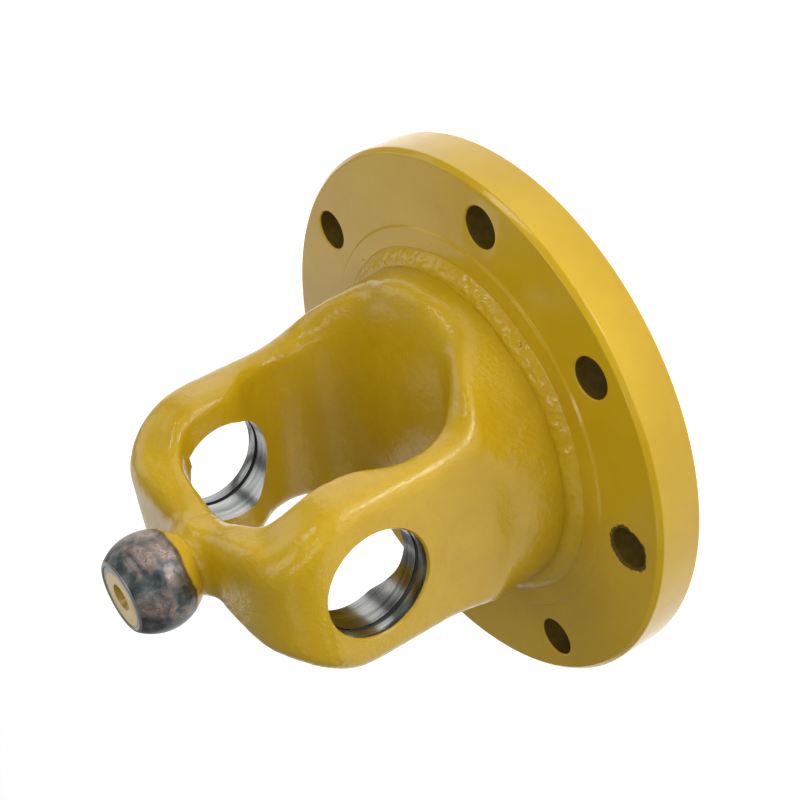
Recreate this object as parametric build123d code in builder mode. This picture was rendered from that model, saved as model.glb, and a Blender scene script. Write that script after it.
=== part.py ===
from build123d import *
import math
import os

os.makedirs("parts", exist_ok=True)

# ---------------------------------------------------------------- dimensions
# Millimetres, +Z along the flange axis from the mounting face to the ball.
# Origin: centre of the flange's flat mounting face.

# flange plate, turned all over
flange_r = 96.2
flange_t = 17.0
front_chamfer = 1.6
back_chamfer = 0.6
land_r = 70.0            # raised middle left by the facing cut under the bolt heads
land_h = 0.8
bolt_pcd = 165.5
bolt_r = 6.85
bolt_chamfer = 0.5
bolt_angles = [140.4, 73.7, 33.0, -7.6, -58.9, -103.0, -141.0, -179.0]

# yoke forging
bore_z = 89.1            # cross axis above the mounting face, parallel to X
bore_r = 18.0
ear_x = 52.8             # flat outer face of each ear
bore_edge = 0.85         # chamfer at the outer mouth of each bearing bore
bore_edge_in = 1.4       # and at the inner mouth
ear_in = 32.3            # inner face of each ear at the bore
groove_in = 46.0         # retaining ring groove, inner and outer shoulder
groove_out = 47.9
groove_r = 19.2
hub_r = 58.0             # round drum at the foot of the yoke
hub_top = 33.5
foot_z = flange_t + land_h
ball_z = 138.05
ball_r = 16.15
ball_flat_z = 149.2
disc_r = 10.6            # shallow turned recess in the ball's end
disc_depth = 0.25
centre_r = 4.3
centre_pilot_r = 2.1
neck_r = 10.9

# weld bead round the foot
weld_leg = 6.6
weld_rise = 3.8

# Evenly spaced stations of one arm, from the drum up the arm, round the
# shoulder and along the bridge to the middle plane:
# outer point (x, z), inner point (x, z), half width in Y, radius of the outer
# corners, radius of the inner corners.
stations = [
    ((58.0, 24.0), (14.0, 24.0), 52.0, 9.0, 8.0),
    ((58.0, 29.9), (16.9, 29.9), 51.5, 9.0, 8.0),
    ((57.2, 35.2), (22.0, 35.2), 49.6, 8.5, 7.4),
    ((55.3, 39.7), (28.8, 39.7), 45.0, 7.9, 6.9),
    ((53.4, 44.8), (34.0, 44.8), 37.3, 7.2, 6.2),
    ((52.9, 50.5), (38.1, 50.5), 33.2, 6.7, 5.7),
    ((52.8, 56.6), (40.2, 56.6), 31.4, 6.5, 5.3),
    ((52.8, 62.7), (41.1, 62.7), 30.5, 6.3, 5.0),
    ((52.8, 68.9), (40.6, 68.9), 30.3, 6.4, 5.0),
    ((52.8, 74.9), (38.2, 74.9), 30.3, 6.4, 5.0),
    ((52.8, 80.6), (34.3, 80.6), 30.3, 6.6, 5.0),
    ((52.8, 86.7), (32.6, 86.7), 30.3, 6.7, 5.0),
    ((52.8, 92.9), (32.3, 92.8), 30.2, 6.9, 5.0),
    ((52.8, 99.4), (32.1, 98.6), 29.2, 7.1, 5.0),
    ((52.3, 106.1), (30.7, 103.7), 26.6, 7.5, 5.0),
    ((50.1, 113.0), (27.4, 107.0), 23.1, 8.3, 5.0),
    ((45.5, 118.6), (23.3, 109.0), 20.0, 9.1, 5.0),
    ((38.7, 121.7), (19.2, 109.9), 18.7, 8.2, 5.3),
    ((31.0, 122.8), (15.4, 110.3), 17.5, 7.1, 5.5),
    ((23.2, 123.1), (11.6, 110.5), 16.2, 6.5, 5.6),
    ((15.4, 123.3), (7.8, 110.6), 14.5, 6.2, 5.6),
    ((7.7, 123.3), (3.9, 110.6), 13.3, 6.0, 5.6),
    ((0.0, 123.3), (0.0, 110.6), 13.0, 6.0, 5.6),
]

# ---------------------------------------------------------------- flange plate
with BuildPart() as flange_plate:
    with BuildSketch(Plane.XZ):
        with BuildLine():
            Polyline(
                (0, 0),
                (flange_r - back_chamfer, 0),
                (flange_r, back_chamfer),
                (flange_r, flange_t - front_chamfer),
                (flange_r - front_chamfer, flange_t),
                (land_r + land_h, flange_t),
                (land_r, foot_z),
                (0, foot_z),
                close=True,
            )
        make_face()
    revolve(axis=Axis.Z)
    for angle in bolt_angles:
        a = math.radians(angle)
        spot = (bolt_pcd / 2 * math.cos(a), bolt_pcd / 2 * math.sin(a))
        with BuildSketch():
            with Locations(spot):
                Circle(bolt_r)
        extrude(amount=flange_t, mode=Mode.SUBTRACT)
        with BuildSketch(Plane.XY.offset(flange_t)):
            with Locations(spot):
                Circle(bolt_r + bolt_chamfer)
        extrude(amount=-bolt_chamfer, taper=45, mode=Mode.SUBTRACT)
flange_plate.part.label = "flange_plate"
export_step(flange_plate.part, "parts/flange_plate.step")

# ---------------------------------------------------------------- yoke with ball
with BuildPart() as ball_yoke:
    # one arm with its half of the bridge, lofted through rounded sections
    for (ox, oz), (ix, iz), half, outer_round, inner_round in stations:
        thick = math.hypot(ox - ix, oz - iz)
        ux, uz = (ox - ix) / thick, (oz - iz) / thick
        place = Plane(
            origin=((ox + ix) / 2, 0, (oz + iz) / 2),
            x_dir=(ux, 0, uz),
            z_dir=(-uz, 0, ux),
        )
        with BuildSketch(place):
            Rectangle(thick, 2 * half)
            fillet(vertices().group_by(Axis.X)[-1], outer_round)
            fillet(vertices().group_by(Axis.X)[0], inner_round)
    loft()
    mirror(about=Plane.YZ)
    # the feet of the arms are trimmed to the round of the drum
    with BuildSketch(Plane.XZ):
        with BuildLine():
            Polyline(
                (hub_r - 0.3, foot_z),
                (hub_r - 0.3, hub_top + 4.5),
                (hub_r + 2.5, hub_top + 14.5),
                (hub_r + 8.0, hub_top + 22.5),
                (hub_r + 20.0, hub_top + 22.5),
                (hub_r + 20.0, foot_z),
                close=True,
            )
        make_face()
    revolve(axis=Axis.Z, mode=Mode.SUBTRACT)
    # drum with a rounded top edge and a low domed floor between the arms
    with BuildSketch(Plane.XZ):
        with BuildLine():
            Polyline((0, 38.4), (0, foot_z), (hub_r, foot_z), (hub_r, 28.4))
            Spline(
                (hub_r, 28.4),
                (56.6, 31.6),
                (53.0, 33.9),
                (44.0, 35.8),
                (30.0, 37.4),
                (15.0, 38.2),
                (0, 38.4),
                tangents=((0.0, 1.0), (-1.0, 0.0)),
            )
        make_face()
    revolve(axis=Axis.Z)
    # neck and ball
    with BuildSketch(Plane.XZ):
        with BuildLine():
            z_join = ball_z - math.sqrt(ball_r**2 - (neck_r + 0.25) ** 2)
            Polyline((0, 113.3), (12.0, 113.3), (14.6, 122.4))
            Spline(
                (14.6, 122.4),
                (12.2, 123.8),
                (neck_r, 125.4),
                (neck_r + 0.25, z_join),
                tangents=((-1.0, 0.12), (0.45, 1.0)),
            )
            flat_r = math.sqrt(ball_r**2 - (ball_flat_z - ball_z) ** 2)
            ThreePointArc((neck_r + 0.25, z_join), (ball_r, ball_z), (flat_r, ball_flat_z))
            Polyline(
                (flat_r, ball_flat_z),
                (disc_r, ball_flat_z),
                (disc_r - disc_depth, ball_flat_z - disc_depth),
                (centre_r, ball_flat_z - disc_depth),
                (centre_pilot_r, ball_flat_z - disc_depth - (centre_r - centre_pilot_r) * 1.5),
                (centre_pilot_r, ball_flat_z - 9.0),
                (0, ball_flat_z - 10.2),
                (0, 113.3),
            )
        make_face()
    revolve(axis=Axis.Z)
    # bearing bores with their retaining ring grooves, both ears in one profile
    with BuildSketch(Plane(origin=(0, 0, bore_z), x_dir=(1, 0, 0), z_dir=(0, -1, 0))):
        with BuildLine():
            Polyline(
                (0, 0),
                (62.0, 0),
                (62.0, bore_r + bore_edge + 62.0 - ear_x),
                (ear_x - bore_edge, bore_r),
                (groove_out, bore_r),
                (groove_out, groove_r),
                (groove_in, groove_r),
                (groove_in, bore_r),
                (ear_in + bore_edge_in, bore_r),
                (ear_in - 1.5, bore_r + bore_edge_in + 1.5),
                (ear_in - 1.5, bore_r),
                (0, bore_r),
                close=True,
            )
        make_face()
        mirror(about=Plane.YZ)
    revolve(axis=Axis((0, 0, bore_z), (1, 0, 0)), mode=Mode.SUBTRACT)
ball_yoke.part.label = "ball_yoke"
export_step(ball_yoke.part, "parts/ball_yoke.step")

# ---------------------------------------------------------------- weld
with BuildPart() as weld_bead:
    with BuildSketch(Plane.XZ):
        with BuildLine():
            Polyline(
                (hub_r, foot_z + weld_rise),
                (hub_r, foot_z),
                (hub_r + weld_leg, foot_z),
            )
            ThreePointArc(
                (hub_r + weld_leg, foot_z),
                (hub_r + weld_leg * 0.56, foot_z + weld_rise * 0.62),
                (hub_r, foot_z + weld_rise),
            )
        make_face()
    revolve(axis=Axis.Z)
weld_bead.part.label = "weld_bead"
export_step(weld_bead.part, "parts/weld_bead.step")
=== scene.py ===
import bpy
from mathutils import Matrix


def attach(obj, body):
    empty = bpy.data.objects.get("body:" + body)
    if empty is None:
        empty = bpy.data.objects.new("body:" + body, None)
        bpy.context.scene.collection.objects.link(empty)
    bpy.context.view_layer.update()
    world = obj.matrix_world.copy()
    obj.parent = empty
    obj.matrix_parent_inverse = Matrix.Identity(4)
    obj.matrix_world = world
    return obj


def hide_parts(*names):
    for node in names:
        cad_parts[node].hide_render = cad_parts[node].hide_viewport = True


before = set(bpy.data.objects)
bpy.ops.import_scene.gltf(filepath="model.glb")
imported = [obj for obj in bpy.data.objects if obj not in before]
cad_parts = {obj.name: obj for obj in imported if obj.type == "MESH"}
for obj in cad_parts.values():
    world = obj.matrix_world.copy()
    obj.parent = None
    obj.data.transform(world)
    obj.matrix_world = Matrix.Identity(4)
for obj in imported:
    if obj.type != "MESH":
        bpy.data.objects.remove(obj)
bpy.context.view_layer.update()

import math

import bmesh
import bpy
import numpy as np
from mathutils import Matrix, Vector, noise
from mathutils.bvhtree import BVHTree

scene = bpy.context.scene
MM = 0.001
rng = np.random.default_rng(7)

# ------------------------------------------------------------------ dimensions
# The CAD model's own numbers, in millimetres.
flange_r, flange_t = 96.2, 17.0
front_chamfer, back_chamfer = 1.6, 0.6
land_r, land_h = 70.0, 0.8
bolt_pcd, bolt_r = 165.5, 6.85
bolt_angles = [140.4, 73.7, 33.0, -7.6, -58.9, -103.0, -141.0, -179.0]
bore_z, bore_r, ear_x = 89.1, 18.0, 52.8
bore_edge, bore_edge_in, ear_in = 0.85, 1.4, 32.3
groove_in, groove_out, groove_r = 46.0, 47.9, 19.2
hub_r, hub_top = 58.0, 33.5
foot_z = flange_t + land_h
ball_z, ball_r, ball_flat_z = 138.05, 16.15, 149.2
disc_r, disc_depth, centre_r, centre_pilot_r = 10.6, 0.25, 4.3, 2.1
neck_r = 10.9
weld_leg, weld_rise = 6.6, 3.8

# outer point (x, z), inner point (x, z), half width, outer and inner corner radius
stations = [
    ((58.0, 24.0), (14.0, 24.0), 52.0, 9.0, 8.0),
    ((58.0, 29.9), (16.9, 29.9), 51.5, 9.0, 8.0),
    ((57.2, 35.2), (22.0, 35.2), 49.6, 8.5, 7.4),
    ((55.3, 39.7), (28.8, 39.7), 45.0, 7.9, 6.9),
    ((53.4, 44.8), (34.0, 44.8), 37.3, 7.2, 6.2),
    ((52.9, 50.5), (38.1, 50.5), 33.2, 6.7, 5.7),
    ((52.8, 56.6), (40.2, 56.6), 31.4, 6.5, 5.3),
    ((52.8, 62.7), (41.1, 62.7), 30.5, 6.3, 5.0),
    ((52.8, 68.9), (40.6, 68.9), 30.3, 6.4, 5.0),
    ((52.8, 74.9), (38.2, 74.9), 30.3, 6.4, 5.0),
    ((52.8, 80.6), (34.3, 80.6), 30.3, 6.6, 5.0),
    ((52.8, 86.7), (32.6, 86.7), 30.3, 6.7, 5.0),
    ((52.8, 92.9), (32.3, 92.8), 30.2, 6.9, 5.0),
    ((52.8, 99.4), (32.1, 98.6), 29.2, 7.1, 5.0),
    ((52.3, 106.1), (30.7, 103.7), 26.6, 7.5, 5.0),
    ((50.1, 113.0), (27.4, 107.0), 23.1, 8.3, 5.0),
    ((45.5, 118.6), (23.3, 109.0), 20.0, 9.1, 5.0),
    ((38.7, 121.7), (19.2, 109.9), 18.7, 8.2, 5.3),
    ((31.0, 122.8), (15.4, 110.3), 17.5, 7.1, 5.5),
    ((23.2, 123.1), (11.6, 110.5), 16.2, 6.5, 5.6),
    ((15.4, 123.3), (7.8, 110.6), 14.5, 6.2, 5.6),
    ((7.7, 123.3), (3.9, 110.6), 13.3, 6.0, 5.6),
    ((0.0, 123.3), (0.0, 110.6), 13.0, 6.0, 5.6),
]


# ------------------------------------------------------------------ mesh helpers
def spline(points, n):
    """n points on a natural cubic spline through evenly numbered rows."""
    p = np.asarray(points, float)
    k = len(p)
    a = np.zeros((k, k))
    b = np.zeros_like(p)
    a[0, 0] = a[-1, -1] = 1.0
    for i in range(1, k - 1):
        a[i, i - 1 : i + 2] = 1.0, 4.0, 1.0
        b[i] = 6.0 * (p[i + 1] - 2.0 * p[i] + p[i - 1])
    m = np.linalg.solve(a, b)
    u = np.linspace(0.0, k - 1.0, n)
    i = np.minimum(u.astype(int), k - 2)
    t = (u - i)[:, None]
    s = 1.0 - t
    return s * p[i] + t * p[i + 1] + ((s**3 - s) * m[i] + (t**3 - t) * m[i + 1]) / 6.0


def arc_spline(points, n):
    """The same, numbered by distance along the polyline, so uneven points are safe."""
    p = np.asarray(points, float)
    d = np.concatenate([[0.0], np.cumsum(np.linalg.norm(np.diff(p, axis=0), axis=1))])
    k = len(p)
    h = np.diff(d)
    a = np.zeros((k, k))
    b = np.zeros_like(p)
    a[0, 0] = a[-1, -1] = 1.0
    for i in range(1, k - 1):
        a[i, i - 1 : i + 2] = h[i - 1], 2.0 * (h[i - 1] + h[i]), h[i]
        b[i] = 6.0 * ((p[i + 1] - p[i]) / h[i] - (p[i] - p[i - 1]) / h[i - 1])
    m = np.linalg.solve(a, b)
    u = np.linspace(0.0, d[-1], n)
    i = np.clip(np.searchsorted(d, u) - 1, 0, k - 2)
    t = ((u - d[i]) / h[i])[:, None]
    s = 1.0 - t
    hh = (h[i] ** 2)[:, None]
    return s * p[i] + t * p[i + 1] + hh * ((s**3 - s) * m[i] + (t**3 - t) * m[i + 1]) / 6.0


def mesh_object(name, verts, faces, smooth=True):
    me = bpy.data.meshes.new(name)
    me.from_pydata([tuple(v) for v in np.asarray(verts) * MM], [], [tuple(int(i) for i in f) for f in faces])
    me.validate()
    bm = bmesh.new()
    bm.from_mesh(me)
    bmesh.ops.recalc_face_normals(bm, faces=bm.faces)
    bm.to_mesh(me)
    bm.free()
    if smooth:
        me.polygons.foreach_set("use_smooth", [True] * len(me.polygons))
    ob = bpy.data.objects.new(name, me)
    scene.collection.objects.link(ob)
    return ob


def revolve(name, profile, steps, axis="Z", centre=(0.0, 0.0, 0.0), link=True, sweep=None):
    """Closed solid of revolution. profile runs from axis to axis, (radius, height)."""
    prof = [(float(r), float(h)) for r, h in profile]
    verts, rows, faces = [], [], []
    for r, h in prof:
        if r < 1e-6:
            rows.append([len(verts)])
            verts.append((0.0, 0.0, h))
        else:
            rows.append(list(range(len(verts), len(verts) + steps)))
            for j in range(steps):
                a = 2.0 * math.pi * j / steps
                verts.append((r * math.cos(a), r * math.sin(a), h))
    for lo, hi in zip(rows, rows[1:]):
        for j in range(steps):
            k = (j + 1) % steps
            if len(lo) == 1 and len(hi) == 1:
                continue
            if len(lo) == 1:
                faces.append((lo[0], hi[k], hi[j]))
            elif len(hi) == 1:
                faces.append((lo[j], lo[k], hi[0]))
            else:
                faces.append((lo[j], lo[k], hi[k], hi[j]))
    v = np.array(verts)
    if axis == "X":
        v = v[:, [2, 0, 1]]
    v = v + np.array(centre)
    return mesh_object(name, v, faces)


def drop(ob):
    me = ob.data
    bpy.data.objects.remove(ob, do_unlink=True)
    bpy.data.meshes.remove(me)


def joined(name, obs):
    bm = bmesh.new()
    for ob in obs:
        bm.from_mesh(ob.data)
    me = bpy.data.meshes.new(name)
    bm.to_mesh(me)
    bm.free()
    ob = bpy.data.objects.new(name, me)
    scene.collection.objects.link(ob)
    return ob


def applied(ob):
    """Applies the object's modifiers to its own mesh."""
    deps = bpy.context.evaluated_depsgraph_get()
    deps.update()
    me = bpy.data.meshes.new_from_object(ob.evaluated_get(deps), depsgraph=deps)
    old = ob.data
    ob.modifiers.clear()
    ob.data = me
    bpy.data.meshes.remove(old)


def cut(ob, tool, solver="EXACT"):
    mod = ob.modifiers.new("cut", "BOOLEAN")
    mod.operation = "DIFFERENCE"
    mod.solver = solver
    mod.object = tool
    applied(ob)
    drop(tool)


def tidy(ob):
    """Closes the slivers that a cut leaves and removes loose scraps."""
    bm = bmesh.new()
    bm.from_mesh(ob.data)
    bmesh.ops.remove_doubles(bm, verts=bm.verts, dist=0.004 * MM)
    bmesh.ops.dissolve_degenerate(bm, edges=bm.edges, dist=0.004 * MM)
    bmesh.ops.triangulate(bm, faces=[f for f in bm.faces if len(f.verts) > 4])
    bmesh.ops.dissolve_degenerate(bm, edges=bm.edges, dist=0.004 * MM)
    crowded = {f for e in bm.edges if len(e.link_faces) > 2 for f in e.link_faces}
    slim = [f for f in crowded if f.calc_area() < 0.02 * MM * MM]
    bmesh.ops.collapse(bm, edges=list({e for f in slim for e in f.edges}), uvs=False)
    seen = set()
    scraps = []
    for face in bm.faces:
        if face in seen:
            continue
        island, todo = [], [face]
        seen.add(face)
        while todo:
            f = todo.pop()
            island.append(f)
            for e in f.edges:
                for g in e.link_faces:
                    if g not in seen:
                        seen.add(g)
                        todo.append(g)
        if len(island) < 50:
            scraps += island
    bmesh.ops.delete(bm, geom=scraps, context="FACES")
    gaps = [e for e in bm.edges if len(e.link_faces) == 1]
    if gaps:
        bmesh.ops.holes_fill(bm, edges=gaps, sides=8)
    bm.to_mesh(ob.data)
    bm.free()


def coords(me):
    co = np.empty(len(me.vertices) * 3)
    me.vertices.foreach_get("co", co)
    return co.reshape(-1, 3) / MM


def set_coords(me, co):
    me.vertices.foreach_set("co", (np.asarray(co) * MM).ravel())
    me.update()


def edges_of(me):
    e = np.empty(len(me.edges) * 2, int)
    me.edges.foreach_get("vertices", e)
    return e.reshape(-1, 2)


def relax(co, edges, weight, rounds, step=0.5):
    n = len(co)
    deg = np.bincount(edges.ravel(), minlength=n).astype(float)
    w = (weight * step)[:, None]
    for _ in range(rounds):
        acc = np.empty_like(co)
        for k in range(3):
            acc[:, k] = np.bincount(edges[:, 0], co[edges[:, 1], k], n) + np.bincount(edges[:, 1], co[edges[:, 0], k], n)
        co = co + w * (acc / deg[:, None] - co)
    return co


# ------------------------------------------------------------------ forging
def section(ox, oz, ix, iz, half, ro, ri):
    """One closed ring of points in the plane of the section."""
    thick = math.hypot(ox - ix, oz - iz)
    ux, uz = (ox - ix) / thick, (oz - iz) / thick
    mx, mz = (ox + ix) / 2.0, (oz + iz) / 2.0
    a1, a0 = thick / 2.0, -thick / 2.0
    ring = []

    def arc(ca, cb, r, start):
        for i in range(11):
            t = math.radians(start + 90.0 * i / 10.0)
            ring.append((ca + r * math.cos(t), cb + r * math.sin(t)))

    def line(p, q, n):
        for i in range(1, n):
            ring.append((p[0] + (q[0] - p[0]) * i / n, p[1] + (q[1] - p[1]) * i / n))

    arc(a1 - ro, half - ro, ro, 0.0)
    line((a1 - ro, half), (a0 + ri, half), 8)
    arc(a0 + ri, half - ri, ri, 90.0)
    line((a0, half - ri), (a0, -half + ri), 32)
    arc(a0 + ri, -half + ri, ri, 180.0)
    line((a0 + ri, -half), (a1 - ro, -half), 8)
    arc(a1 - ro, -half + ro, ro, 270.0)
    line((a1, -half + ro), (a1, half - ro), 32)
    return [(mx + a * ux, b, mz + a * uz) for a, b in ring]


def arms_mesh():
    rows = [(o[0], o[1], i[0], i[1], h, ro, ri) for o, i, h, ro, ri in stations]
    rows += [(-r[0], r[1], -r[2], r[3], r[4], r[5], r[6]) for r in rows[-2::-1]]
    fine = spline(rows, 281)
    rings = [section(*r) for r in fine]
    v = np.array(rings).reshape(-1, 3)
    m = len(rings[0])
    rad = np.hypot(v[:, 0], v[:, 1])
    # feet trimmed to the round of the drum, with a soft edge instead of a crease
    lim = np.interp(v[:, 2], [0.0, hub_top + 4.5, hub_top + 14.5, hub_top + 22.5, hub_top + 30.0], [hub_r - 0.2, hub_r - 0.2, hub_r + 2.6, hub_r + 8.0, hub_r + 16.0])
    soft = 1.3
    short = np.minimum(rad, -soft * np.logaddexp(-rad / soft, -lim / soft))
    k = np.where(rad > 30.0, short / np.maximum(rad, 1e-6), 1.0)
    v[:, 0] *= k
    v[:, 1] *= k
    faces = []
    for i in range(len(rings) - 1):
        for j in range(m):
            n = (j + 1) % m
            faces.append((i * m + j, i * m + n, (i + 1) * m + n, (i + 1) * m + j))
    faces.append(tuple(range(m)))
    faces.append(tuple(range((len(rings) - 1) * m, len(rings) * m))[::-1])
    return mesh_object("arms_tmp", v, faces)


def drum_mesh():
    top = arc_spline([(hub_r, 28.4), (56.6, 31.6), (53.0, 33.9), (44.0, 35.8), (30.0, 37.4), (15.0, 38.2), (0.0, 38.4)], 60)
    top[-1, 0] = 0.0
    prof = [(0.0, foot_z)] + [(r, foot_z) for r in (20.0, 40.0)] + [(hub_r, foot_z), (hub_r, 21.0), (hub_r, 24.5)] + [tuple(p) for p in top]
    return revolve("drum_tmp", prof, 256)


def neck_mesh():
    z_join = ball_z - math.sqrt(ball_r**2 - (neck_r + 0.25) ** 2)
    side = arc_spline([(14.6, 122.4), (12.2, 123.8), (neck_r, 125.4), (neck_r + 0.15, z_join), (neck_r + 0.1, z_join + 3.0)], 30)
    prof = [(0.0, 113.3), (12.0, 113.3)] + [tuple(p) for p in side] + [(0.0, z_join + 3.0)]
    return revolve("neck_tmp", prof, 128)


arms, drum, neck = arms_mesh(), drum_mesh(), neck_mesh()
forging = joined("forging", [arms, drum, neck])
remesh = forging.modifiers.new("skin", "REMESH")
remesh.mode = "VOXEL"
remesh.voxel_size = 0.95 * MM
applied(forging)
trees = []
for ob in (arms, drum, neck):
    me = ob.data
    trees.append(BVHTree.FromPolygons([v.co for v in me.vertices], [p.vertices[:] for p in me.polygons]))
co = coords(forging.data)
edges = edges_of(forging.data)
near = np.empty((len(co), 3))
for i, p in enumerate(co):
    q = Vector(p * MM)
    for k, tree in enumerate(trees):
        hit = tree.find_nearest(q, 0.012)
        near[i, k] = hit[3] / MM if hit[0] is not None else 12.0
co = relax(co, edges, np.ones(len(co)), 3, 0.35)
crease_foot = np.exp(-((np.hypot(near[:, 0], near[:, 1]) / 6.0) ** 2)) * np.clip((co[:, 2] - 23.0) / 4.0, 0.0, 1.0)
crease_neck = np.exp(-((np.hypot(near[:, 0], near[:, 2]) / 2.4) ** 2)) * np.clip((co[:, 2] - 116.0) / 2.0, 0.0, 1.0)
for part, rounds in ((crease_foot, 150), (crease_neck, 40)):
    co = relax(co, edges, np.clip(part * 1.25, 0.0, 1.0), rounds)
set_coords(forging.data, co)


def lumps(me, big, small, keep=None):
    """Uneven forged skin: slow swells and a finer hammered texture, along the normals."""
    co = coords(me)
    nor = np.empty(len(co) * 3)
    me.vertices.foreach_get("normal", nor)
    nor = nor.reshape(-1, 3)
    d = np.array([
        big * noise.noise(Vector(p * 0.055)) + small * noise.noise(Vector(p * 0.30)) - 0.5 * (big + small) * 0.6
        for p in co
    ])
    if keep is not None:
        d *= keep(co)
    set_coords(me, co + nor * d[:, None])


def skin_mask(c):
    # the machined ear faces and the ends by the ball stay true
    return np.where((np.abs(c[:, 0]) > 52.0) & (np.hypot(c[:, 1], c[:, 2] - bore_z) < 26.0), 0.15, 1.0) * np.clip((128.0 - c[:, 2]) / 4.0, 0.0, 1.0)


lumps(forging.data, 0.22, 0.10, skin_mask)
for ob in (arms, drum, neck):
    drop(ob)

# bearing bores with their ring grooves
bore_profile = [
    (0.0, 2.0), (bore_r, 2.0), (bore_r, ear_in - 1.5), (bore_r + bore_edge_in + 1.5, ear_in - 1.5), (bore_r + bore_edge_in * 0.5, ear_in + bore_edge_in * 0.42),
    (bore_r, ear_in + bore_edge_in),
    (bore_r, groove_in), (groove_r, groove_in + 0.05), (groove_r, groove_out - 0.05), (bore_r, groove_out),
    (bore_r, ear_x - bore_edge), (bore_r + bore_edge * 0.45, ear_x - bore_edge * 0.38), (bore_r + bore_edge + 3.0, ear_x + 3.0), (0.0, ear_x + 3.0),
]
for side in (1, -1):
    tool = revolve("bore_tool", [(r, side * h) for r, h in bore_profile], 192, axis="X", centre=(0.0, 0.0, bore_z))
    cut(forging, tool)
tidy(forging)

# ------------------------------------------------------------------ ball
def ball_mesh():
    prof = []
    start = math.asin((122.6 - ball_z) / ball_r)
    flat_r = math.sqrt(ball_r**2 - (ball_flat_z - ball_z) ** 2)
    stop = math.asin((ball_flat_z - ball_z) / ball_r)
    prof.append((0.0, 122.6))
    for i in range(73):
        t = start + (stop - start) * i / 72.0
        prof.append((ball_r * math.cos(t), ball_z + ball_r * math.sin(t)))
    r, z = prof.pop()
    prof += [(r - 0.02, z - 0.12), (r - 0.22, z)]
    prof += [(disc_r + 0.12, z), (disc_r, z - 0.06), (disc_r - disc_depth, z - disc_depth), (disc_r - 0.6, z - disc_depth)]
    prof += [(7.4, z - disc_depth), (centre_r + 0.25, z - disc_depth), (centre_r, z - disc_depth - 0.2)]
    zc = z - disc_depth - (centre_r - centre_pilot_r) * 1.5
    prof += [(centre_pilot_r + 0.25, zc + 0.3), (centre_pilot_r, zc - 0.1), (centre_pilot_r, z - 9.0), (0.0, z - 10.2)]
    return revolve("ball_end", prof, 160)


ball = ball_mesh()

# ------------------------------------------------------------------ flange
def round_corner(p0, p, p1, r, n=5):
    p0, p, p1 = (np.array(q, float) for q in (p0, p, p1))
    a, b = (p0 - p) / np.linalg.norm(p0 - p), (p1 - p) / np.linalg.norm(p1 - p)
    half = math.acos(max(-1.0, min(1.0, float(a @ b)))) / 2.0
    t = r / math.tan(half)
    c = p + (a + b) / np.linalg.norm(a + b) * (r / math.sin(half))
    s, e = p + a * t - c, p + b * t - c
    out = []
    for i in range(n + 1):
        k = i / n
        d = s * (1 - k) + e * k
        out.append(tuple(c + d / np.linalg.norm(d) * r))
    return out


outline = [
    (0, 0), (flange_r - back_chamfer, 0), (flange_r, back_chamfer), (flange_r, flange_t - front_chamfer),
    (flange_r - front_chamfer, flange_t), (land_r + land_h, flange_t), (land_r, foot_z), (0, foot_z),
]
radii = [0, 0.3, 0.3, 0.9, 0.9, 0.35, 0.35, 0]
prof = [(0.0, 0.0)]
for i in range(1, 7):
    prof += round_corner(outline[i - 1], outline[i], outline[i + 1], radii[i])
prof.append((0.0, foot_z))
flange = revolve("flange_skin", prof, 384)
hole_edge = []
for i in range(7):
    t = math.radians(90.0 * i / 6.0)
    hole_edge.append((bolt_r + 0.75 * (1 - math.cos(t)), flange_t - 0.75 + 0.75 * math.sin(t)))
hole_prof = [(0.0, -2.0), (bolt_r + 2.4, -2.0), (bolt_r, 0.4)] + hole_edge + [(bolt_r + 0.75, flange_t + 3.0), (0.0, flange_t + 3.0)]
for a in bolt_angles:
    t = math.radians(a)
    cut(flange, revolve("hole_tool", hole_prof, 72, centre=(bolt_pcd / 2 * math.cos(t), bolt_pcd / 2 * math.sin(t), 0.0)))

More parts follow.
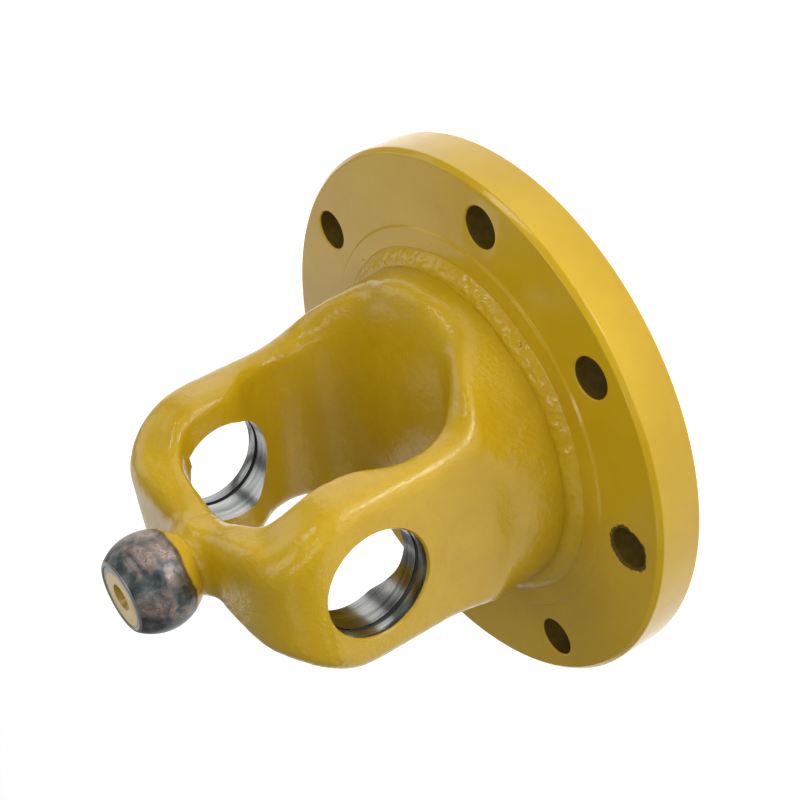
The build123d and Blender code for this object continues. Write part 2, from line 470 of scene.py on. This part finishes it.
# ------------------------------------------------------------------ weld
def weld_mesh():
    steps, across = 1440, 26
    rows = []
    ph = rng.uniform(0, 50, 3)
    for j in range(steps):
        a = 2.0 * math.pi * j / steps
        c, s = math.cos(a), math.sin(a)
        n1 = noise.noise(Vector((c * 3.0, s * 3.0, ph[0])))
        n2 = noise.noise(Vector((c * 3.0, s * 3.0, ph[1])))
        n3 = noise.noise(Vector((c * 16.0, s * 16.0, ph[2])))
        leg = weld_leg * (0.90 + 0.10 * n1 + 0.035 * n3)
        rise = weld_rise * (0.90 + 0.13 * n2)
        arc = a * 60.0
        # ends of the passes: a thicker lump where one run was stopped and the next begun
        for centre, size in ((49.0, 0.55), (171.0, 0.45), (262.0, 0.5), (-22.0, 0.4)):
            d = (math.degrees(a) - centre + 180.0) % 360.0 - 180.0
            k = size * math.exp(-((d / 5.0) ** 2))
            leg += 0.25 * k
            rise += 0.45 * k
        leg, rise = min(leg, weld_leg - 0.15), min(rise, weld_rise - 0.12)
        row = []
        for i in range(across + 1):
            v = i / across
            # from the drum (v 0) to the toe on the plate (v 1), slightly crowned
            r = hub_r - 0.25 + (leg + 0.25) * v
            base = rise * (1 - v)
            crown = 0.30 * rise * math.sin(math.pi * min(1.0, v * 1.02)) ** 0.9
            phase = arc / 2.9 + 0.9 * (v - 0.45) ** 2 * 4.0 + 0.55 * n1 * 3.0
            saw = phase - math.floor(phase)
            ripple = (0.5 - abs(saw - 0.62) * 1.2) * 0.34 * (0.25 + 1.3 * abs(n3)) * math.sin(math.pi * v) ** 0.6
            ripple += 0.55 * noise.noise(Vector((r * c * 0.36, r * s * 0.36, base * 0.6 + ph[0]))) * math.sin(math.pi * v)
            ripple *= 0.4 + 0.6 * math.exp(-(((math.degrees(a) - 66.0 + 180.0) % 360.0 - 180.0) / 48.0) ** 2)
            z = foot_z - 0.3 * (i == across) + base + crown + ripple * (1.0 if 0 < i < across else 0.0)
            row.append((r * c, r * s, min(z, foot_z + weld_rise + 0.0)))
        row.append(((hub_r - 1.5) * c, (hub_r - 1.5) * s, foot_z - 0.3))
        row.append(((hub_r - 1.5) * c, (hub_r - 1.5) * s, foot_z + rise * 0.8))
        rows.append(row)
    m = len(rows[0])
    v = np.array(rows).reshape(-1, 3)
    faces = []
    for j in range(steps):
        k = (j + 1) % steps
        for i in range(m):
            n = (i + 1) % m
            faces.append((j * m + i, j * m + n, k * m + n, k * m + i))
    return mesh_object("weld_tmp", v, faces)


def drop_mesh(az, r, size, flat, z):
    """One spatter ball, half sunk into what it fell on."""
    u, w = 14, 9
    cx, cy = r * math.cos(math.radians(az)), r * math.sin(math.radians(az))
    verts, faces = [], []
    for i in range(w + 1):
        t = math.pi * i / w
        for j in range(u):
            p = 2 * math.pi * j / u
            verts.append((cx + size * math.sin(t) * math.cos(p), cy + size * math.sin(t) * math.sin(p), z + size * flat * math.cos(t)))
    for i in range(w):
        for j in range(u):
            k = (j + 1) % u
            faces.append((i * u + j, i * u + k, (i + 1) * u + k, (i + 1) * u + j))
    ob = mesh_object("drop_tmp", verts, faces)
    bm = bmesh.new()
    bm.from_mesh(ob.data)
    bmesh.ops.remove_doubles(bm, verts=bm.verts, dist=1e-7)
    bmesh.ops.recalc_face_normals(bm, faces=bm.faces)
    bm.to_mesh(ob.data)
    bm.free()
    return ob


parts = [weld_mesh(), drop_mesh(49.0, 62.2, 0.85, 0.8, foot_z + 2.0)]
for _ in range(16):
    az = float(rng.uniform(0, 360))
    r = float(rng.uniform(65.2, 69.2))
    s = float(rng.uniform(0.22, 0.45))
    parts.append(drop_mesh(az, r, s, 0.55, foot_z + 0.02))
weld = joined("weld_skin", parts)
for ob in parts:
    drop(ob)
weld.data.polygons.foreach_set("use_smooth", [True] * len(weld.data.polygons))

# ------------------------------------------------------------------ materials
class Nodes:
    def __init__(self, name):
        self.mat = bpy.data.materials.new(name)
        self.mat.use_nodes = True
        self.t = self.mat.node_tree
        self.t.nodes.clear()
        self.out = self.t.nodes.new("ShaderNodeOutputMaterial")
        self.bsdf = self.t.nodes.new("ShaderNodeBsdfPrincipled")
        self.t.links.new(self.bsdf.outputs[0], self.out.inputs[0])
        self.coord = self.t.nodes.new("ShaderNodeTexCoord")
        self.obj = self.coord.outputs["Object"]

    def link(self, a, b):
        self.t.links.new(a, b)

    def noise(self, scale, detail=4.0, rough=0.55, vec=None, distortion=0.0):
        n = self.t.nodes.new("ShaderNodeTexNoise")
        n.inputs["Scale"].default_value = scale
        n.inputs["Detail"].default_value = detail
        n.inputs["Roughness"].default_value = rough
        n.inputs["Distortion"].default_value = distortion
        self.link(vec or self.obj, n.inputs["Vector"])
        return n.outputs["Fac"]

    def voronoi(self, scale, vec=None, feature="F1", rand=1.0):
        n = self.t.nodes.new("ShaderNodeTexVoronoi")
        n.feature = feature
        n.inputs["Scale"].default_value = scale
        n.inputs["Randomness"].default_value = rand
        self.link(vec or self.obj, n.inputs["Vector"])
        return n.outputs["Distance"]

    def ramp(self, fac, stops, mode="LINEAR"):
        n = self.t.nodes.new("ShaderNodeValToRGB")
        n.color_ramp.interpolation = mode
        while len(n.color_ramp.elements) < len(stops):
            n.color_ramp.elements.new(0.5)
        for e, (pos, col) in zip(n.color_ramp.elements, stops):
            e.position = pos
            e.color = (*col, 1.0) if hasattr(col, "__len__") else (col, col, col, 1.0)
        self.link(fac, n.inputs["Fac"])
        return n.outputs["Color"]

    def math(self, op, a, b=None, c=None, clamp=False):
        n = self.t.nodes.new("ShaderNodeMath")
        n.operation = op
        n.use_clamp = clamp
        for i, x in enumerate((a, b, c)):
            if x is None:
                continue
            if isinstance(x, (int, float)):
                n.inputs[i].default_value = x
            else:
                self.link(x, n.inputs[i])
        return n.outputs[0]

    def span(self, x, lo, hi, a=0.0, b=1.0, smooth=True):
        n = self.t.nodes.new("ShaderNodeMapRange")
        n.interpolation_type = "SMOOTHSTEP" if smooth else "LINEAR"
        n.clamp = True
        for i, v in ((1, lo), (2, hi), (3, a), (4, b)):
            n.inputs[i].default_value = v
        self.link(x, n.inputs[0])
        return n.outputs[0]

    def mix(self, fac, a, b):
        n = self.t.nodes.new("ShaderNodeMix")
        n.data_type = "RGBA"
        if isinstance(fac, (int, float)):
            n.inputs[0].default_value = fac
        else:
            self.link(fac, n.inputs[0])
        for sock, x in ((6, a), (7, b)):
            if isinstance(x, tuple):
                n.inputs[sock].default_value = (*x, 1.0)
            else:
                self.link(x, n.inputs[sock])
        return n.outputs[2]

    def xyz(self, vec=None):
        n = self.t.nodes.new("ShaderNodeSeparateXYZ")
        self.link(vec or self.obj, n.inputs[0])
        return n.outputs

    def scaled(self, v):
        n = self.t.nodes.new("ShaderNodeVectorMath")
        n.operation = "MULTIPLY"
        self.link(self.obj, n.inputs[0])
        n.inputs[1].default_value = v
        return n.outputs[0]

    def bump(self, height, distance, strength=1.0, normal=None):
        n = self.t.nodes.new("ShaderNodeBump")
        n.inputs["Strength"].default_value = strength
        n.inputs["Distance"].default_value = distance
        self.link(height, n.inputs["Height"])
        if normal is not None:
            self.link(normal, n.inputs["Normal"])
        return n.outputs[0]

    def put(self, name, x):
        s = self.bsdf.inputs[name]
        if isinstance(x, (int, float)):
            s.default_value = x
        elif isinstance(x, tuple):
            s.default_value = (*x, 1.0) if len(x) == 3 else x
        else:
            self.link(x, s)


def srgb(r, g, b):
    def f(c):
        c /= 255.0
        return c / 12.92 if c <= 0.04045 else ((c + 0.055) / 1.055) ** 2.4
    return (f(r), f(g), f(b))


YELLOW = srgb(197, 160, 20)
YELLOW_DEEP = srgb(190, 152, 15)
YELLOW_PALE = srgb(203, 167, 30)


def enamel(name, peel, lump, turned=False, painted_shade=1.0):
    """Glossy yellow enamel. peel: height of the orange peel, lump: of what shows through it."""
    m = Nodes(name)
    cloud = m.noise(26.0, 6.0, 0.62)
    # the shade factor darkens every tone: painted shade for a darker copy of the same enamel
    tones = [tuple(c * painted_shade for c in tone) for tone in (YELLOW_DEEP, YELLOW, YELLOW_PALE)]
    col = m.ramp(cloud, list(zip((0.30, 0.52, 0.76), tones)))
    dust = m.span(m.noise(900.0, 3.0, 0.7), 0.60, 0.82, 0.0, 0.10)
    col = m.mix(dust, col, srgb(150, 112, 20))
    # a few dark specks of grit caught in the paint
    speck = m.math("MULTIPLY", m.span(m.voronoi(42.0), 0.030, 0.018), m.span(m.noise(19.0, 2.0), 0.60, 0.66))
    col = m.mix(speck, col, srgb(70, 52, 16))
    bare_and_hole_shade = None
    if turned:
        # the hole walls are painted dark as painted shade inside the deep holes, and one has a ragged mouth
        x, y, z = m.xyz()
        cloth = m.math("SUBTRACT", m.noise(330.0, 5.0, 0.65), 0.5)
        for k, angle in enumerate(bolt_angles):
            t = math.radians(angle)
            dx = m.math("SUBTRACT", x, bolt_pcd / 2 * math.cos(t) * MM)
            dy = m.math("SUBTRACT", y, bolt_pcd / 2 * math.sin(t) * MM)
            r = m.math("SQRT", m.math("ADD", m.math("MULTIPLY", dx, dx), m.math("MULTIPLY", dy, dy)))
            ragged = abs(angle + 7.6) < 0.1
            r = m.math("ADD", r, m.math("MULTIPLY", cloth, 0.0042 if ragged else 0.0001))
            edge = bolt_r + (1.25 if ragged else 0.16)
            one = m.span(r, edge * MM, (edge - 0.12) * MM)
            bare_and_hole_shade = one if bare_and_hole_shade is None else m.math("MAXIMUM", bare_and_hole_shade, one)
        # dark olive of the hole walls: painted shade
        hole_shade_colour = m.ramp(m.noise(420.0, 3.0), [(0.35, srgb(84, 69, 26)), (0.7, srgb(98, 80, 30))])
        col = m.mix(bare_and_hole_shade, col, hole_shade_colour)
    m.put("Base Color", col)
    m.put("Roughness", m.span(m.noise(140.0, 4.0, 0.6), 0.3, 0.7, 0.30, 0.42))
    m.put("Coat Weight", 0.75 if bare_and_hole_shade is None else m.span(bare_and_hole_shade, 0.0, 1.0, 0.75, 0.0, False))
    m.put("Coat Roughness", 0.12 if turned else 0.13)
    m.put("Coat IOR", 1.45)
    m.put("Specular IOR Level", 0.10)
    n = m.bump(m.noise(130.0, 4.0, 0.55), lump * MM)
    if turned:
        # feed marks of the facing cut and of the turned rim
        rr = m.math("SQRT", m.math("ADD", m.math("MULTIPLY", x, x), m.math("MULTIPLY", y, y)))
        feed = m.math("SINE", m.math("MULTIPLY", m.math("ADD", rr, z), 2.0 * math.pi / (0.62 * MM)))
        feed = m.math("MULTIPLY", feed, m.span(m.noise(60.0, 3.0), 0.35, 0.65, 0.3, 1.0))
        n = m.bump(feed, 0.006 * MM, 1.0, n)
    n = m.bump(m.noise(620.0, 3.0, 0.5), peel * MM, 1.0, n)
    n = m.bump(m.noise(1500.0, 2.0, 0.5), 0.35 * peel * MM, 1.0, n)
    m.put("Normal", n)
    m.link(n, m.bsdf.inputs["Coat Normal"])
    return m


# the forging takes a darker copy of the same yellow enamel: painted shade over the whole forging
paint_forging = enamel("yellow_enamel_forging", 0.18, 0.13, painted_shade=0.92)
paint_flange = enamel("yellow_enamel_flange", 0.016, 0.03, True)
paint_weld = enamel("yellow_enamel_weld", 0.10, 0.10)


def bore_steel():
    m = Nodes("bored_steel")
    x, y, z = m.xyz()
    fine = m.noise(1.0, 3.0, 0.6, m.scaled((5200.0, 120.0, 120.0)))
    wide = m.noise(1.0, 4.0, 0.6, m.scaled((420.0, 26.0, 26.0)))
    col = m.ramp(wide, [(0.30, srgb(104, 107, 106)), (0.50, srgb(150, 152, 150)), (0.72, srgb(188, 188, 184))])
    stain = m.span(m.noise(55.0, 5.0, 0.65, None, 0.6), 0.55, 0.74, 0.0, 0.5)
    col = m.mix(stain, col, srgb(112, 98, 70))
    # the groove is painted darker and less metallic: painted shade in the groove
    ax = m.math("ABSOLUTE", x)
    r = m.math("SQRT", m.math("ADD", m.math("MULTIPLY", y, y), m.math("POWER", m.math("SUBTRACT", z, bore_z * MM), 2.0)))
    groove_shade = m.math("MULTIPLY", m.span(r, (bore_r + 0.15) * MM, (bore_r + 0.7) * MM), 0.55)
    col = m.mix(groove_shade, col, srgb(70, 68, 60))
    m.put("Base Color", col)
    m.put("Metallic", m.math("SUBTRACT", 1.0, m.math("MULTIPLY", groove_shade, 0.6)))
    m.put("Roughness", m.span(fine, 0.3, 0.7, 0.17, 0.30))
    m.put("Normal", m.bump(fine, 0.006 * MM))
    return m


def ball_steel():
    m = Nodes("hardened_ball")
    x, y, z = m.xyz()
    warp = m.noise(70.0, 5.0, 0.65, None, 0.8)
    fine = m.noise(420.0, 5.0, 0.7)
    mott = m.math("ADD", m.math("MULTIPLY", warp, 0.78), m.math("MULTIPLY", fine, 0.22))
    steel = m.ramp(mott, [(0.36, srgb(44, 50, 50)), (0.46, srgb(74, 80, 80)), (0.54, srgb(128, 116, 108)), (0.64, srgb(186, 166, 154))])
    pepper = m.math("MULTIPLY", m.span(m.noise(1500.0, 2.0, 0.6), 0.52, 0.64), m.span(mott, 0.50, 0.60, 0.0, 0.6))
    steel = m.mix(pepper, steel, srgb(52, 46, 40))
    # worn bright rim round the flat
    r = m.math("SQRT", m.math("ADD", m.math("MULTIPLY", x, x), m.math("MULTIPLY", y, y)))
    rag = m.math("MULTIPLY", m.math("SUBTRACT", m.noise(260.0, 4.0), 0.5), 0.0012)
    top = m.math("GREATER_THAN", z, (ball_flat_z - 0.45) * MM)
    steel = m.mix(m.math("MULTIPLY", top, 0.75), steel, srgb(160, 160, 154))
    y_low = m.math("ADD", y, 0.8 * MM)
    r_low = m.math("SQRT", m.math("ADD", m.math("MULTIPLY", x, x), m.math("MULTIPLY", y_low, y_low)))
    disc = m.math("MULTIPLY", top, m.span(m.math("ADD", r_low, rag), (disc_r - 1.3) * MM, (disc_r - 1.8) * MM))
    hole = m.math("MULTIPLY", m.span(r, (centre_r + 0.4) * MM, centre_r * MM), m.span(z, (ball_flat_z - 20.0) * MM, (ball_flat_z - 12.0) * MM))
    # paint of the neck, which ends raggedly a little above the neck
    low = m.math("ADD", z, m.math("MULTIPLY", m.math("SUBTRACT", m.noise(120.0, 4.0, 0.6), 0.5), 0.0045))
    neck_paint = m.span(low, (ball_z - 7.0) * MM, (ball_z - 8.1) * MM)
    paint = m.math("MAXIMUM", m.math("MAXIMUM", disc, hole), neck_paint)
    scale = m.math("MULTIPLY", m.span(low, (ball_z - 5.0) * MM, (ball_z - 7.5) * MM), 0.7)
    steel = m.mix(scale, steel, srgb(70, 60, 40))
    col = m.mix(paint, steel, YELLOW)
    # the centre hole's yellow is painted darker: painted shade inside the hole
    col = m.mix(m.math("MULTIPLY", hole, 0.45), col, srgb(84, 64, 14))
    m.put("Base Color", col)
    m.put("Metallic", m.math("MULTIPLY", m.math("SUBTRACT", 1.0, paint), 0.72))
    m.put("Roughness", m.span(mott, 0.35, 0.65, 0.30, 0.46))
    m.put("Coat Weight", m.math("MULTIPLY", paint, 0.4))
    m.put("Coat Roughness", 0.09)
    m.put("Normal", m.bump(mott, 0.05 * MM))
    return m


bore_mat, ball_mat = bore_steel(), ball_steel()

# faces of the bores take the steel
me = forging.data
me.materials.clear()
me.materials.append(paint_forging.mat)
me.materials.append(bore_mat.mat)
cen = np.empty(len(me.polygons) * 3)
me.polygons.foreach_get("center", cen)
cen = cen.reshape(-1, 3) / MM
nor = np.empty(len(me.polygons) * 3)
me.polygons.foreach_get("normal", nor)
nor = nor.reshape(-1, 3)
rad = np.hypot(cen[:, 1], cen[:, 2] - bore_z)
out = (nor[:, 1] * cen[:, 1] + nor[:, 2] * (cen[:, 2] - bore_z)) / np.maximum(rad, 1e-6)
ring = (rad > bore_r - 0.1) & (np.abs(np.abs(cen[:, 0]) - (groove_in + groove_out) / 2) < 1.2)
in_bore = (rad < groove_r + 0.06) & ((out < -0.9) | ring)
me.polygons.foreach_set("material_index", in_bore.astype(int))
me.polygons.foreach_set("use_smooth", [True] * len(me.polygons))
for ob, mat in ((flange, paint_flange), (weld, paint_weld), (ball, ball_mat)):
    ob.data.materials.clear()
    ob.data.materials.append(mat.mat)
    ob.data.polygons.foreach_set("use_smooth", [True] * len(ob.data.polygons))


def sharpen(ob, degrees):
    """Smooth shading with hard edges where the surface really turns."""
    bm = bmesh.new()
    bm.from_mesh(ob.data)
    lim = math.radians(degrees)
    for e in bm.edges:
        if len(e.link_faces) == 2:
            e.smooth = e.calc_face_angle(0.0) < lim
    bm.to_mesh(ob.data)
    bm.free()


sharpen(forging, 38)
sharpen(flange, 38)
sharpen(ball, 32)

forging.name = "forging_skin"
for ob, slot in ((forging, "painted_forging"), (ball, "painted_forging"), (flange, "painted_flange"), (weld, "painted_weld")):
    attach(ob, "root")
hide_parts("ball_yoke")
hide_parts("ball_yoke")
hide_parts("flange_plate")
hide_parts("weld_bead")

# ------------------------------------------------------------------ floor, light, camera
me = bpy.data.meshes.new("floor")
me.from_pydata([(-6, -6, 0), (6, -6, 0), (6, 6, 0), (-6, 6, 0)], [], [(0, 1, 2, 3)])
floor = bpy.data.objects.new("floor", me)
floor.location.z = -0.0002
scene.collection.objects.link(floor)
fl = Nodes("pale_floor")
fx, fy, fz = fl.xyz()
reach = fl.math("SQRT", fl.math("ADD", fl.math("MULTIPLY", fx, fx), fl.math("MULTIPLY", fy, fy)))
turn_at = fl.math("ARCTAN2", fy, fx)


def glow(lo, hi, soft, r0, r1, gain):
    """A brighter patch of the lit floor, between two bearings and two distances."""
    a = fl.math("MULTIPLY", fl.span(turn_at, math.radians(lo - soft), math.radians(lo + soft)), fl.span(turn_at, math.radians(hi + soft), math.radians(hi - soft)))
    a = fl.math("MULTIPLY", a, fl.span(reach, r0, r0 + 0.02))
    a = fl.math("MULTIPLY", a, fl.span(reach, r1 + 0.1, r1 - 0.1))
    return fl.math("MULTIPLY", a, gain)


lit = fl.math("ADD", glow(20.0, 70.0, 9.0, 0.13, 0.42, 0.35), glow(40.0, 50.0, 3.0, 0.15, 0.27, 15.0))
lit = fl.math("ADD", lit, 0.80)
fl.put("Base Color", fl.ramp(fl.noise(3.0, 3.0), [(0.3, (0.80, 0.80, 0.80)), (0.7, (0.84, 0.84, 0.84))]))
fl.put("Roughness", 0.95)
fl.put("Specular IOR Level", 0.1)
fl.put("Emission Color", (1.0, 1.0, 1.0))
fl.put("Emission Strength", lit)
fl.put("Normal", fl.bump(fl.noise(40.0, 3.0), 0.0002))
fm = fl.mat
me.materials.append(fm)

world = bpy.data.worlds.new("studio")
scene.world = world
world.use_nodes = True
bg = world.node_tree.nodes["Background"]
bg.inputs[0].default_value = (1.0, 1.0, 1.0, 1.0)
bg.inputs[1].default_value = 0.215

# rows of the fitted camera: image right, image down, viewing direction
cam_rows = [(0.592026, -0.127211, -0.795815), (0.396962, -0.81334, 0.425323), (-0.701374, -0.567711, -0.431021)]
cam_at = (351.72, 269.682, 260.397)
cam_data = bpy.data.cameras.new("camera")
cam = bpy.data.objects.new("camera", cam_data)
scene.collection.objects.link(cam)
scene.camera = cam
right, down, ahead = (Vector(r) for r in cam_rows)
turn = Matrix((right, -down, -ahead)).transposed().to_4x4()
cam.matrix_world = Matrix.Translation(Vector(cam_at) * MM) @ turn
cam_data.sensor_width = 36.0
cam_data.lens = 1473.857 * 36.0 / 800.0
cam_data.shift_x = -0.00192
cam_data.shift_y = 0.11415
cam_data.clip_start = 0.01
cam_data.clip_end = 30.0


def soft_box(name, at, aim, size, power, along=(0.0, 0.0, 1.0)):
    """Rectangular area light. size: across, then along the given direction."""
    back = (Vector(at) - Vector(aim)).normalized()
    up = Vector(along) - back * back.dot(Vector(along))
    up.normalize()
    side = up.cross(back)
    data = bpy.data.lights.new(name, "AREA")
    data.shape = "RECTANGLE"
    data.size, data.size_y = size
    data.energy = power
    ob = bpy.data.objects.new(name, data)
    scene.collection.objects.link(ob)
    ob.matrix_world = Matrix.Translation(Vector(at)) @ Matrix((side, up, back)).transposed().to_4x4()
    return ob


soft_box("side_wall", (0.17, 0.56, 0.20), (0.0, 0.0, 0.07), (0.30, 0.18), 0.10)
soft_box("left_wall", (-0.56, 0.26, 0.36), (0.0, 0.0, 0.09), (0.42, 0.30), 0.45)
soft_box("left_low", (-0.54, -0.26, 0.30), (0.0, 0.0, 0.05), (0.34, 0.30), 0.25)
soft_box("right_low", (0.50, -0.51, 0.66), (0.0, 0.0, 0.08), (0.26, 0.22), 0.15)
soft_box("overhead", (-0.04, 0.30, 0.78), (0.0, 0.0, 0.03), (0.20, 0.50), 0.90, (0.0, 1.0, 0.0))
soft_box("camera_side", (1.04, 0.39, 0.72), (0.0, 0.0, 0.07), (0.60, 0.60), 2.45)
soft_box("glint_shoulder", (-0.14, 0.66, 0.50), (0.02, 0.02, 0.09), (0.30, 0.12), 0.65)
soft_box("glint_top", (0.42, 0.06, 0.70), (0.05, 0.03, 0.02), (0.12, 0.12), 0.30)
soft_box("glint_side", (0.43, 0.53, 0.50), (0.04, 0.04, 0.04), (0.10, 0.14), 0.30)
soft_box("low_card", (0.205, 0.185, 0.036), (0.03, 0.02, 0.085), (0.22, 0.05), 0.07)

scene.view_settings.view_transform = "Standard"
scene.view_settings.look = "None"
scene.view_settings.exposure = 0.0
scene.view_settings.gamma = 1.0
